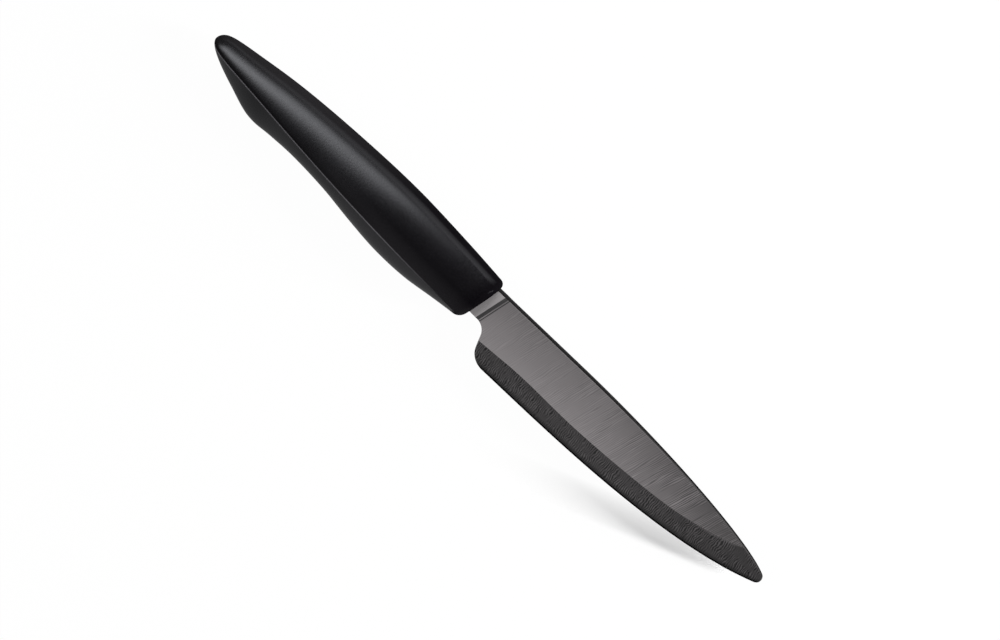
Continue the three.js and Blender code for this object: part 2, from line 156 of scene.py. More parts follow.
# How finely the pieces are cut, and which edges stay crisp.
GRIP_AROUND = 272
CAVITY_AROUND = 34
GRIP_STATIONS = 120
FILLET_STATIONS = 8
CAVITY_STATIONS = 20
POST_SIDES = 32
KEYHOLE_SIDES = 48
SPINE_POINTS = 300
EDGE_POINTS = 400
ROUND_POINTS = 60
CORNER_POINTS = 40
CORNER_START_POINTS = 6
STATION_ENDS = [-FRONT_WALL, SHOULDER_START, LAND_START, LAND_END, FACE_START, 18, 100]
STATION_COUNTS = [10, 5, 3, 3, 110, 110]
TIP_STATIONS = 60
TANG_STATIONS = 60
FACE_ROWS = 10
GRIND_ROWS = 8
WELD_REACH = 0.0005
SLIVER = 0.0002
TINY = 1e-12
GRIP_CREASE = 38
BLADE_CREASE = 3

# Kinds of station on the grip, and finishes of the blade in the order of its materials.
OUTSIDE, CAVITY, POST = range(3)
FACE, GRIND, KEEN, SPINE, CHAMFER, TANG, RAMP = range(7)

# Colours, as linear red, green and blue, and alpha. A pair runs from the darker to the paler one.
GRIP_COLOURS = [(0.0016, 0.0014, 0.0018, 1), (0.0048, 0.0042, 0.0053, 1)]
# Painted sheen: the paler flank just above the ridge towards the front.
GRIP_FLANK_SHEEN = (0.0145, 0.0135, 0.015, 1)
# Painted sheen: a paler matt colour where the handle turns away at a slant above the ridge, towards the
# butt.
GRIP_SLANT_SHEEN = (0.0125, 0.0118, 0.0128, 1)
# Painted highlight: a pale line along the ridge, where its rounded crease would catch the light.
GRIP_RIDGE_HIGHLIGHT = (0.16, 0.154, 0.166, 1)
GRIP_GLOSS = (0.93, 0.945, 1, 1)
FLAT_COLOURS = [(0.05, 0.0468, 0.0478, 1), (0.22, 0.2058, 0.2095, 1)]
GRIND_COLOURS = [(0.004, 0.0038, 0.0039, 1), (0.082, 0.0768, 0.079, 1)]
KEEN_COLOURS = [(0.001, 0.001, 0.001, 1), (0.002, 0.002, 0.002, 1)]
SPINE_COLOURS = [(0.001, 0.001, 0.001, 1), (0.018, 0.0175, 0.0177, 1)]
CHAMFER_COLOURS = [(0.0012, 0.0012, 0.0012, 1), (0.11, 0.105, 0.107, 1)]
# The tang is paler than the flat, partly as its own finish and partly as painted light that lifts the shade
# the handle casts on it.
TANG_COLOURS_AND_PAINTED_LIGHT = [(0.258, 0.245, 0.248, 1), (0.36, 0.342, 0.347, 1)]
# Painted shade: the shoulder's slanted ramp is given a dark colour for the dark that it would reflect.
RAMP_PAINTED_SHADE_COLOURS = [(0.015, 0.015, 0.015, 1), (0.06, 0.058, 0.059, 1)]
CORE_COLOURS = [(0.02, 0.02, 0.021, 1), (0.035, 0.035, 0.037, 1)]
BOND_COLOURS = [(0.38, 0.33, 0.24, 1), (0.5, 0.45, 0.34, 1)]
WHITE = (1, 1, 1, 1)
FLOOR_PAINT = (0.96, 0.96, 0.96, 1)

# Grip finish. A pair of places is where a change starts and where it is done.
PEBBLE_SCALE = 1700
PEBBLE_DETAIL = 3
PEBBLE_ROUGHNESS = 0.6
PEBBLE_TONE = 1.2
PEBBLE_GLOSS = 0.1
PEBBLE_STRENGTH = 0.35
PEBBLE_HEIGHT = 0.06
CLOUD_SCALE = 90
CLOUD_DETAIL = 3
CLOUD_TONE = 0.8
CLOUD_GLOSS = 0.04
# Painted highlight line on the ridge: its half width, and where along the handle it fades out.
RIDGE_HIGHLIGHT_WIDTH = 0.35
RIDGE_HIGHLIGHT_ALONG = (-8, -38)
# Painted sheen on the flank above the ridge, and where along the handle it comes in.
FLANK_SHEEN_ABOVE_RIDGE = (-6, 0)
FLANK_SHEEN_ALONG = (-75, -35)
# Painted sheen at a slant above the ridge: where it comes in below the ridge line.
SLANT_SHEEN_ABOVE_RIDGE = (0, -2)
UNDER_RIDGE = (0, 0.3)
FRONT_ALONG = (-80, -30)
POLISHED_ALONG = (-60, -10)
GRIP_ROUGHNESS = 0.28
POLISH = 0.12
GRIP_SPECULAR = 0.63
DULL_FROM = 0.08
DULL_FROM_FRONT = 0.03
DULL_SPAN = 0.2
DULL_SPAN_FRONT = 0.05
DULL_MOST = 0.98
DULL_MOST_FRONT = 0.01
DULL_LESS_UNDER = 0.28
RIM_ALONG = (-7.4, -2.4)
RIM_DULL = 0.99

# Ground lines on the ceramic: pitch, reach, size of patches, lean, and the lean's growth per millimetre.
FLAT_LINES = (0.58, 13, 12, 0.18, 0.0006)
GRIND_LINES = (0.7, 2.6, 2.6, -0.1, 0)
SMALL_LINES = (0.5, 4, 6, 0.1, 0)
SPINE_LINES = (1.2, 0.5, 3, 0, 0)

# What the ground lines share: sizes in pitches, and how much each part counts.
WANDER_PITCHES = 3
WANDER = 2.5
SCATTER_PITCHES = 0.5
PATCH_PITCHES = 8
PATCH_SHOWN = (0.3, 0.5857)
WAVE_SHARE = 0.6
SCATTER_SHARE = 1.4
LINE_STRENGTH = 0.5
LINE_GLOSS = 0.06
CERAMIC_IOR = 1.6
FINE_DEPTH = 0.006
GRIND_DEPTH = 0.015

# Flat of the blade
FLAT_TONE = 0.85
FLAT_CLOUD_SIZE = (14, 9)
FLAT_CLOUD = 0.12
# Painted shade: the flat darkens towards the tip and towards the spine.
FLAT_TIP = (50, 105)
FLAT_TIP_SHADE = 0.5
FLAT_SPINE = (-8, 8)
FLAT_SPINE_SHADE = 0.4
FLAT_LINE_TONE = 0.24
FLAT_LINE_GROWTH = 0.5
FLAT_LINE_ALONG = (0, 85)
# Painted highlight: a pale rim along the flat's top, under the spine's chamfer, that fades out towards the
# tip.
SPINE_HIGHLIGHT_BELOW = (SPINE_CHAMFER + 0.4, SPINE_CHAMFER)
SPINE_HIGHLIGHT_ENDS = (80, 72)
SPINE_HIGHLIGHT_TONE = 0.25

# Wide grind over the edge
GRIND_TONE = 0.46
GRIND_CLOUD_SIZE = (9, 4)
GRIND_CLOUD = 0.25
GRIND_LINE_TONE = 0.8
GRIND_LINE_GROWTH = 0.2
GRIND_LINE_ALONG = (50, 90)
# Painted shade: the grind darkens towards the tip, and towards the edge over the dusk's span.
GRIND_TIP = (70, 115)
GRIND_TIP_SHADE = 0.35
DUSK_ABOVE_EDGE = (EDGE_BEVEL, EDGE_BEVEL + 1.5)
DUSK_TONE = 0.1
# A paler strip along the grind's top near the tip, standing for a narrow facet there: its tone is partly
# that facet's finish and partly painted light, from the way the facet faces.
STRIP_WIDTH = 0.75
STRIP_START = (87, 96)
STRIP_END = (110, 107)
STRIP_BLUR = 0.15
STRIP_TONE = 0.3

# Small faces of the blade
SMALL_TONE = 0.5
SMALL_LINE_TONE = 0.35
SPINE_TONE = 0.7
SPINE_LINE_TONE = 0.25
SPINE_DARKENS = (74, 50)
CHAMFER_TONE = 0.05
CHAMFER_LINE_TONE = 0.04
CHAMFER_PALES = (48, 84)
CHAMFER_LOWER = (0.1, 0.25)
CHAMFER_PALE_TONE = 0.32

# Pieces inside the handle
MOTTLE_DETAIL = 4
MOTTLE_STRENGTH = 0.3
MOTTLE_DEPTH = 0.02
MOTTLE_GLOSS = 0.1

# Camera. It looks down from the spine side, turned so that the tip is at the picture's lower right.
CAMERA_TILT = 25
CAMERA_ROLL = 45
CAMERA_LENS = 135
PICTURE_WIDTH = 305.62
PICTURE_MIDDLE = 7.926

# Floor. Its shadow shows in a wedge that starts near the tip and turns from the blade's length.
FLOOR_REACH = 8000
FLOOR_GLOW = 0.97
WEDGE_TIP = (106.65, -15.8)
WEDGE_TURN = 25
WEDGE_START = (-15, -7)
WEDGE_FADE = (95, 45)
WEDGE_SIDE = (0, 2)
WEDGE_DEPTH = (13, 3)

# Light. The world's directions run along the blade, towards the spine and up, each from -1 to 1.
OVERHEAD_LIGHT = 0.045
HORIZON_LIGHT = 1.05
HORIZON_TOP = (0.36, 0.24)
HORIZON_SIDE = (0.1333, -0.2)
ARCH_LIGHT = 4.35
ARCH_TURN = 73
ARCH_TWIST = 125
ARCH_FRONT_TWIST = 220
ARCH_WIDTH = 41
ARCH_NARROWING = 21
ARCH_NARROWS = (-0.24, 0.06)
ARCH_FRONT = (0.14, -0.18)
ARCH_FRONT_FALL = 1.6
ARCH_BACK = (-1, -0.55)
LAMP_TOWARD = Vector((0.7, 0.643, 0.312))
LAMP_ALONG = Vector((-0.27, 0.03, 0.45))
LAMP_DISTANCE = 1100
LAMP_LENGTH = 560
LAMP_HEIGHT = 100
LAMP_RADIANCE = 96
LAMP_POWER_FACTOR = 4

slant_slope = math.tan(math.radians(FRONT_SLANT))
tang_end = -FRONT_WALL - TANG_LENGTH
knife_origin = Vector((
    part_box("blade")[1].x - BLADE_LENGTH * MM,
    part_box("tang_bond")[1].y - (TANG_TOP + FIT_GAP + BOND_THICKNESS) * MM,
    (cad_low.z + cad_high.z) / 2,
))


# Node trees


class Socket:
    """An output of a node. Arithmetic on it adds the Math nodes that work it out."""

    def __init__(self, nodes, socket):
        self.nodes = nodes
        self.socket = socket

    def other(self, name):
        return Socket(self.nodes, self.socket.node.outputs[name])

    def __add__(self, value):
        return self.nodes.math("ADD", self, value)

    def __sub__(self, value):
        return self.nodes.math("SUBTRACT", self, value)

    def __rsub__(self, value):
        return self.nodes.math("SUBTRACT", value, self)

    def __mul__(self, value):
        return self.nodes.math("MULTIPLY", self, value)

    def __truediv__(self, value):
        return self.nodes.math("DIVIDE", self, value)

    def __pow__(self, value):
        return self.nodes.math("POWER", self, value)

    __radd__ = __add__
    __rmul__ = __mul__


class Nodes:
    """One node tree, and the ways in which this script adds nodes to it."""

    def __init__(self, tree):
        self.tree = tree

    def add(self, kind, inputs=None, settings=None, output=0):
        node = self.tree.nodes.new(kind)
        for name, value in (settings or {}).items():
            setattr(node, name, value)
        for name, value in (inputs or {}).items():
            self.feed(node.inputs[name], value)
        return Socket(self, node.outputs[output]) if len(node.outputs) else node

    def feed(self, target, value):
        for part in value if isinstance(value, list) else [value]:
            if isinstance(part, Socket):
                self.tree.links.new(part.socket, target)
            else:
                target.default_value = part

    def math(self, operation, *values):
        return self.add("ShaderNodeMath", dict(enumerate(values)), {"operation": operation})

    def clamp(self, value):
        return self.add("ShaderNodeClamp", {"Value": value})

    def ramp(self, value, start, end):
        """0 up to the start and 1 from the end on, whichever of them is the greater."""
        return self.clamp((value - start) / (end - start))

    def vector(self, x, y, z):
        return self.add("ShaderNodeCombineXYZ", {"X": x, "Y": y, "Z": z})

    def parts(self, vector):
        x = self.add("ShaderNodeSeparateXYZ", {"Vector": vector})
        return x, x.other("Y"), x.other("Z")

    def blend(self, factor, low, high):
        """A mix of two colours. The sockets go by number, because the node repeats their names."""
        return self.add("ShaderNodeMix", {0: factor, 6: low, 7: high}, {"data_type": "RGBA"}, 2)

    def mix(self, factor, low, high):
        """A mix of two shaders, whose sockets share one name."""
        return self.add("ShaderNodeMixShader", {0: factor, 1: low, 2: high})

    def noise(self, vector, scale=1, detail=2, roughness=0.5):
        inputs = {"Vector": vector, "Scale": scale, "Detail": detail, "Roughness": roughness}
        return self.add("ShaderNodeTexNoise", inputs)

    def background(self, strength):
        return self.add("ShaderNodeBackground", {"Color": WHITE, "Strength": strength})

    def named(self, name):
        """A value that each point of the stations' mesh keeps under a name."""
        return self.add("GeometryNodeInputNamedAttribute", {"Name": name}, {"data_type": "FLOAT"})


def new_material(name):
    made = bpy.data.materials.new(name)
    made.use_nodes = True
    made.node_tree.nodes.clear()
    return made, Nodes(made.node_tree)


def surface(nodes, shader):
    nodes.add("ShaderNodeOutputMaterial", {"Surface": shader})


# Materials


def knife_place(nodes):
    """The place of a point in the knife's own millimetres, as three values."""
    x, y, z = nodes.parts(nodes.add("ShaderNodeTexCoord", output="Object"))
    return ((x - knife_origin.x) / MM, (y - knife_origin.y) / MM, (z - knife_origin.z) / MM)


def line_distance(nodes, name):
    """How far a point is from one of its piece's lines, as the piece's mesh keeps it."""
    return nodes.add("ShaderNodeAttribute", settings={"attribute_name": name}, output="Fac")


def soft_touch_black():
    """A soft black moulding: pebbled skin, a sheen that dulls at a slant, painted sheen, and a painted
    highlight on the ridge.
    """
    made, nodes = new_material("soft_touch_black")
    place = nodes.add("ShaderNodeTexCoord", output="Object")
    x, y, _ = knife_place(nodes)
    below_ridge = line_distance(nodes, "below_ridge")
    pebble = nodes.noise(place, PEBBLE_SCALE, PEBBLE_DETAIL, PEBBLE_ROUGHNESS)
    cloud = nodes.noise(place, CLOUD_SCALE, CLOUD_DETAIL)
    bump = nodes.add("ShaderNodeBump", {
        "Strength": PEBBLE_STRENGTH,
        "Distance": PEBBLE_HEIGHT * MM,
        "Height": pebble,
    })
    front = nodes.ramp(x, *FRONT_ALONG)

    tone = nodes.clamp(0.5 + (pebble - 0.5) * PEBBLE_TONE + (cloud - 0.5) * CLOUD_TONE)
    # Painted sheen: the flank is paler just above the ridge towards the front, as if it caught the light.
    painted_flank_sheen = nodes.ramp(below_ridge, *FLANK_SHEEN_ABOVE_RIDGE) * nodes.ramp(x, *FLANK_SHEEN_ALONG)
    # Painted highlight along the ridge's crease, fading out towards the front.
    painted_ridge_highlight = nodes.ramp(nodes.math("ABSOLUTE", below_ridge), RIDGE_HIGHLIGHT_WIDTH, 0) * nodes.ramp(x, *RIDGE_HIGHLIGHT_ALONG)
    colour = nodes.blend(tone, *GRIP_COLOURS)
    colour = nodes.blend(painted_flank_sheen, colour, GRIP_FLANK_SHEEN)
    colour = nodes.blend(painted_ridge_highlight, colour, GRIP_RIDGE_HIGHLIGHT)

    polished = GRIP_ROUGHNESS - nodes.ramp(x, *POLISHED_ALONG) * POLISH
    satin = nodes.add("ShaderNodeBsdfPrincipled", {
        "Base Color": colour,
        "Roughness": polished + (pebble - 0.5) * PEBBLE_GLOSS + (cloud - 0.5) * CLOUD_GLOSS,
        "Specular IOR Level": GRIP_SPECULAR,
        "Specular Tint": GRIP_GLOSS,
        "Normal": bump,
    })
    # Painted sheen: the matt part, which shows at a slant, is paler above the ridge towards the butt, in
    # place of the gloss it dulls.
    painted_slant_sheen = nodes.ramp(below_ridge, *SLANT_SHEEN_ABOVE_RIDGE) * (1 - front)
    matt = nodes.add("ShaderNodeBsdfPrincipled", {
        "Base Color": nodes.blend(painted_slant_sheen, colour, GRIP_SLANT_SHEEN),
        "Roughness": 1,
        "Specular IOR Level": 0,
        "Normal": bump,
    })

    slant = nodes.add("ShaderNodeLayerWeight", {"Blend": 0.5, "Normal": bump}, output="Facing")
    dull = (slant - DULL_FROM - front * DULL_FROM_FRONT) / (DULL_SPAN + front * DULL_SPAN_FRONT)
    most = DULL_MOST + front * DULL_MOST_FRONT - nodes.ramp(below_ridge, *UNDER_RIDGE) * DULL_LESS_UNDER
    rim = nodes.ramp(x - y * slant_slope, *RIM_ALONG) * RIM_DULL
    quiet = nodes.math("MAXIMUM", nodes.clamp(dull) * most, rim)
    surface(nodes, nodes.mix(quiet, satin, matt))
    return made


def wheel_lines(nodes, place, pitch, reach, patch, lean, lean_growth):
    """Fine lines that a wheel leaves across the blade, above and below 0, and gathered in patches."""
    x, y, z = place
    across = x - y * (x * lean_growth + lean)
    wander = nodes.noise(nodes.vector(across / (WANDER_PITCHES * pitch), y / reach, z))
    waves = nodes.math("SINE", (across / pitch + wander * WANDER) * math.tau)
    scatter = nodes.noise(nodes.vector(across / (SCATTER_PITCHES * pitch), y / reach, z), detail=1) - 0.5
    patches = nodes.noise(nodes.vector(across / (PATCH_PITCHES * pitch), y / patch, z))
    return (waves * WAVE_SHARE + scatter * SCATTER_SHARE) * nodes.ramp(patches, *PATCH_SHOWN)


def cloud_over(nodes, place, size):
    """A slow change of tone over the blade, from -0.5 to 0.5, in clouds of a length and a height."""
    x, y, z = place
    return nodes.noise(nodes.vector(x / size[0], y / size[1], z)) - 0.5


def ceramic(name, lines, tone, colours, roughness, specular, depth=FINE_DEPTH):
    """Black ceramic with ground lines that also stand up from it a little, its colour picked by a tone."""
    made, nodes = new_material(name)
    place = knife_place(nodes)
    strokes = wheel_lines(nodes, place, *lines)
    bump = nodes.add("ShaderNodeBump", {
        "Strength": LINE_STRENGTH,
        "Distance": depth * MM,
        "Height": strokes,
    })
    surface(nodes, nodes.add("ShaderNodeBsdfPrincipled", {
        "Base Color": nodes.blend(nodes.clamp(tone(nodes, place, strokes)), *colours),
        "Roughness": roughness + strokes * LINE_GLOSS,
        "IOR": CERAMIC_IOR,
        "Specular IOR Level": specular,
        "Normal": bump,
    }))
    return made


def flat_tone(nodes, place, strokes):
    """Paler at the heel and the edge, with painted shade towards the tip and the spine, a painted highlight
    on the rim under the spine, and lines that show more towards the tip.
    """
    x, y, _ = place
    # Painted shade towards the tip and the spine.
    painted_shade = nodes.ramp(x, *FLAT_TIP) * FLAT_TIP_SHADE + nodes.ramp(y, *FLAT_SPINE) * FLAT_SPINE_SHADE
    # Painted highlight on the rim under the spine, where its edge would catch the light.
    rim = nodes.ramp(line_distance(nodes, "below_spine"), *SPINE_HIGHLIGHT_BELOW) * nodes.ramp(x, *SPINE_HIGHLIGHT_ENDS)
    shown = FLAT_LINE_TONE + nodes.ramp(x, *FLAT_LINE_ALONG) ** 2 * FLAT_LINE_GROWTH
    cloud = cloud_over(nodes, place, FLAT_CLOUD_SIZE)
    return FLAT_TONE - painted_shade + strokes * shown + cloud * FLAT_CLOUD + rim * SPINE_HIGHLIGHT_TONE


def grind_tone(nodes, place, strokes):
    """Painted shade that darkens it along the edge and towards the tip, with a paler strip along the grind's
    top near the tip that is partly painted light.
    """
    x = place[0]
    # Partly painted light: a paler strip for the facet at the grind's top near the tip.
    width = nodes.ramp(x, *STRIP_START) * nodes.ramp(x, *STRIP_END) * STRIP_WIDTH
    strip = nodes.ramp(line_distance(nodes, "above_grind") + width, 0, STRIP_BLUR)
    # Painted shade along the edge and towards the tip.
    dusk = nodes.ramp(line_distance(nodes, "above_edge"), *DUSK_ABOVE_EDGE)
    shade = (DUSK_TONE + dusk * (1 - DUSK_TONE)) * (1 - nodes.ramp(x, *GRIND_TIP) * GRIND_TIP_SHADE)
    shown = GRIND_LINE_TONE + nodes.ramp(x, *GRIND_LINE_ALONG) * GRIND_LINE_GROWTH
    cloud = cloud_over(nodes, place, GRIND_CLOUD_SIZE)
    return (GRIND_TONE + strokes * shown + cloud * GRIND_CLOUD) * shade + strip * STRIP_TONE


def small_tone(nodes, place, strokes):
    return SMALL_TONE + strokes * SMALL_LINE_TONE


def spine_tone(nodes, place, strokes):
    """Near black, and blacker still towards the tip."""
    return (SPINE_TONE + strokes * SPINE_LINE_TONE) * nodes.ramp(place[0], *SPINE_DARKENS)


def chamfer_tone(nodes, place, strokes):
    """Near black at the heel, with a lower half that is paler towards the tip."""
    lower = nodes.ramp(line_distance(nodes, "below_spine"), *CHAMFER_LOWER)
    pale = nodes.ramp(place[0], *CHAMFER_PALES) * lower
    return CHAMFER_TONE + pale * CHAMFER_PALE_TONE + strokes * CHAMFER_LINE_TONE


def blade_materials():
    return [
        ceramic("ground_face", FLAT_LINES, flat_tone, FLAT_COLOURS, roughness=0.4, specular=0.5),
        ceramic("edge_grind", GRIND_LINES, grind_tone, GRIND_COLOURS, roughness=0.5, specular=0.3,
                depth=GRIND_DEPTH),
        ceramic("keen_edge", SMALL_LINES, small_tone, KEEN_COLOURS, roughness=0.6, specular=0.01),
        ceramic("dark_spine", SPINE_LINES, spine_tone, SPINE_COLOURS, roughness=0.6, specular=0.006),
        ceramic("spine_chamfer", SPINE_LINES, chamfer_tone, CHAMFER_COLOURS, roughness=0.55, specular=0.03),
        ceramic("tang_face", SMALL_LINES, small_tone, TANG_COLOURS_AND_PAINTED_LIGHT, roughness=0.4, specular=0.5),
        ceramic("shoulder_ramp", SMALL_LINES, small_tone, RAMP_PAINTED_SHADE_COLOURS, roughness=0.45, specular=0.3),
    ]


def mottled(name, colours, scale, roughness):
    """A plain moulded or cast substance with a fine mottle, for the pieces inside the handle."""
    made, nodes = new_material(name)
    place = nodes.add("ShaderNodeTexCoord", output="Object")
    mottle = nodes.noise(place, scale, MOTTLE_DETAIL)
    bump = nodes.add("ShaderNodeBump", {
        "Strength": MOTTLE_STRENGTH,
        "Distance": MOTTLE_DEPTH * MM,
        "Height": mottle,
    })
    surface(nodes, nodes.add("ShaderNodeBsdfPrincipled", {
        "Base Color": nodes.blend(mottle, *colours),
        "Roughness": roughness + (mottle - 0.5) * MOTTLE_GLOSS,
        "Normal": bump,
    }))
    return made


# Lines and meshes


def smooth_line(points, place):
    """A smooth line through points, each a place and a height, read at places between the end ones."""
    places, heights = np.array(points, float).T
    last = len(points) - 1
    before = np.maximum(np.arange(last + 1) - 1, 0)
    after = np.minimum(np.arange(last + 1) + 1, last)
    slopes = (heights[after] - heights[before]) / (places[after] - places[before])
    right = np.clip(np.searchsorted(places, place), 1, last)
    left = right - 1
    span = places[right] - places[left]
    t = (place - places[left]) / span
    start = heights[left] * (1 + 2 * t) * (1 - t) ** 2 + slopes[left] * span * t * (1 - t) ** 2
    end = heights[right] * t * t * (3 - 2 * t) + slopes[right] * span * t * t * (t - 1)
    return start + end


def smooth_step(value, low, high):
    t = np.clip((value - low) / (high - low), 0, 1)
    return t * t * (3 - 2 * t)


def front_lean(x):
    """How far the handle's sections lean forward per height: 0 behind, and the slant at the front."""
    return slant_slope * smooth_step(x, -SLANT_RUN, -FRONT_WALL - 2 * FIT_GAP)


def spine_height_at(x):
    return SPINE_HEIGHT + x * math.tan(math.radians(SPINE_RISE_ANGLE))


def neck_rear(y):
    return y * slant_slope - FRONT_WALL


def link(name, data):
    made = bpy.data.objects.new(name, data)
    bpy.context.scene.collection.objects.link(made)
    return made


def settle(piece, modifier):
    """Turns what a modifier makes of a piece into the piece's own plain mesh."""
    graph = bpy.context.evaluated_depsgraph_get()
    mesh = bpy.data.meshes.new_from_object(piece.evaluated_get(graph), depsgraph=graph)
    piece.modifiers.remove(modifier)
    piece.data = mesh
    mesh.name = piece.name


def places_on(piece):
    """The piece's points in the knife's own millimetres, as three columns."""
    places = np.empty(3 * len(piece.data.vertices), np.float32)
    piece.data.vertices.foreach_get("co", places)
    return ((places.reshape(-1, 3) - np.array(knife_origin)) / MM).T


def keep_distance(piece, name, away):
    """Keeps at each point of a piece how far it is from one of the piece's lines, in millimetres."""
    piece.data.attributes.new(name, "FLOAT", "POINT").data.foreach_set("value", away.astype(np.float32))


# Grip


def line_at(line, share):
    """A handle line, read at shares of the handle's length. It runs in their roots, so the butt is round."""
    return smooth_line([(math.sqrt(at), height) for at, height in line], np.sqrt(share))


def root_spaced(rear, front, count):
    """Stations along x that are closer together towards the butt."""
    steps = np.linspace(math.sqrt(rear + HANDLE_LENGTH), math.sqrt(front + HANDLE_LENGTH), count + 1)
    return steps ** 2 - HANDLE_LENGTH


def grip_stations():
    """Rows of x, inset, rounding, gather and kind, for the outside, the cavity and the posts."""
    turn = np.radians(np.linspace(0, 90, FILLET_STATIONS + 1))[1:]
    fillet = FRONT_FILLET * np.column_stack([np.sin(turn) - 1, 1 - np.cos(turn)])
    outside_x = root_spaced(-HANDLE_LENGTH, -FRONT_FILLET, GRIP_STATIONS)
    outside = [(x, SURFACE_INSET, 0, 0, OUTSIDE) for x in outside_x]
    outside += [(x, SURFACE_INSET, rounding, 0, OUTSIDE) for x, rounding in fillet]
    outside.append((0, SURFACE_INSET, FRONT_FILLET, 1, OUTSIDE))
    cavity_x = root_spaced(BUTT_WALL - HANDLE_LENGTH, -FRONT_WALL, CAVITY_STATIONS)
    cavity = [(x, GRIP_SKIN, 0, 0, CAVITY) for x in cavity_x]
    cavity.insert(0, (cavity_x[0], GRIP_SKIN, 0, 1, CAVITY))
    cavity.append((cavity_x[-1], GRIP_SKIN, 0, 1, CAVITY))
    posts = [(-setback, 0, 0, 0, POST) for setback in LOCK_SETBACKS]
    return np.array(outside + cavity + posts, float)


def grip_station_mesh():
    x, inset, rounding, gather, kind = grip_stations().T
    share = np.clip(1 + x / HANDLE_LENGTH, 0, 1)
    values = {name: line_at(line, share) * MM for name, line in HANDLE_LINES.items()}
    values["inset"] = inset * MM
    values["rounding"] = rounding * MM
    values["gather"] = gather
    values["kind"] = kind
    values["lean"] = front_lean(x)
    mesh = bpy.data.meshes.new("grip_stations")
    mesh.from_pydata([(at * MM, 0, 0) for at in x], [], [])
    for name, column in values.items():
        mesh.attributes.new(name, "FLOAT", "POINT").data.foreach_set("value", column.astype(np.float32))
    return mesh


def lofted(nodes, stations, around):
    """The closed surface round a run of stations: a crown, a flank, a ridge and a facet on each side."""
    count = nodes.add("GeometryNodeAttributeDomainSize", {"Geometry": stations}, output="Point Count")
    grid = nodes.add("GeometryNodeMeshGrid", {
        "Size X": count - 1,
        "Size Y": around,
        "Vertices X": count,
        "Vertices Y": around + 1,
    })
    row, column, _ = nodes.parts(nodes.add("GeometryNodeInputPosition"))
    kept = nodes.add("GeometryNodeCaptureAttribute")
    capture = kept.socket.node
    capture.capture_items.new("FLOAT", "Station")
    capture.capture_items.new("FLOAT", "Turn")
    nodes.feed(capture.inputs["Geometry"], grid)
    nodes.feed(capture.inputs["Station"], row + (count - 1) / 2)
    nodes.feed(capture.inputs["Turn"], column / around + 0.5)
    station = nodes.math("ROUND", kept.other("Station"))
    turn = kept.other("Turn")

    def at_station(value):
        inputs = {"Geometry": stations, "Value": value, "Index": station}
        return nodes.add("GeometryNodeSampleIndex", inputs, {"data_type": "FLOAT", "domain": "POINT"})

    def named(name):
        return at_station(nodes.named(name))

    place_x = at_station(nodes.parts(nodes.add("GeometryNodeInputPosition"))[0])
    top, half, widest = named("top"), named("half_width"), named("widest")
    ridge, ridge_half = named("ridge"), named("ridge_half_width")
    keel, keel_half = named("keel"), named("keel_half_width")

    from_top = 1 - nodes.math("ABSOLUTE", turn * 2 - 1)
    side = nodes.math("SIGN", turn - 0.5)
    crown = nodes.clamp(from_top / CROWN_END) * math.radians(90)
    past_ridge = from_top - FLANK_END
    flank_span = FLANK_END - CROWN_END
    flank = nodes.clamp(1 + nodes.math("SMOOTH_MIN", past_ridge, 0, RIDGE_ROUND) / flank_span)
    facet = nodes.math("SMOOTH_MAX", past_ridge, 0, RIDGE_ROUND) / (1 - FLANK_END)
    rest = 1 - facet

    crown_y = widest + (top - widest) * nodes.math("COSINE", crown)
    crown_z = half * nodes.math("SINE", crown)
    flank_y = (ridge - widest) * flank
    flank_z = (ridge_half - half) * flank * flank
    bow = facet * rest * rest * FACET_BOW
    ridge_share = rest ** 3 + bow
    facet_y = (keel - ridge) * (1 - ridge_share)
    facet_z = ridge_half * (ridge_share - 1) + keel_half * (bow + facet * facet * rest * FACET_SWEEP)
    raw = nodes.vector(station * MM, crown_y + flank_y + facet_y, side * (crown_z + flank_z + facet_z))
    skin = nodes.add("GeometryNodeSetPosition", {"Geometry": kept, "Position": raw})
    skin = nodes.add("GeometryNodeMergeByDistance", {"Geometry": skin, "Distance": WELD_REACH * MM})

    _, normal_y, normal_z = nodes.parts(nodes.add("GeometryNodeInputNormal"))
    length = nodes.math("SQRT", normal_y * normal_y + normal_z * normal_z + TINY)
    _, raw_y, raw_z = nodes.parts(nodes.add("GeometryNodeInputPosition"))
    inset, rounding, stay = named("inset"), named("rounding"), 1 - named("gather")
    middle = (top + keel) / 2
    stay_y = stay * (1 - rounding * 2 / (top - keel))
    stay_z = stay * (1 - rounding / half)
    inner_y = middle + (raw_y - inset * normal_y / length - middle) * stay_y
    inner_z = (raw_z - inset * normal_z / length) * stay_z
    placed = nodes.vector(
        place_x + inner_y * named("lean") + knife_origin.x,
        inner_y + knife_origin.y,
        inner_z + knife_origin.z,
    )
    skin = nodes.add("GeometryNodeSetPosition", {"Geometry": skin, "Position": placed})
    return nodes.add("GeometryNodeMergeByDistance", {"Geometry": skin, "Distance": WELD_REACH * MM})


def of_kind(nodes, stations, kind):
    """The stations of one kind, of those that the grip's mesh holds."""
    chosen = nodes.math("COMPARE", nodes.named("kind"), kind, 0.5)
    inputs = {"Geometry": stations, "Selection": chosen}
    return nodes.add("GeometryNodeSeparateGeometry", inputs, {"domain": "POINT"})


def boolean(nodes, operation, body, other):
    inputs = {"Mesh 2": [body, other]} if operation == "UNION" else {"Mesh 1": body, "Mesh 2": other}
    return nodes.add("GeometryNodeMeshBoolean", inputs, {"operation": operation, "solver": "EXACT"})


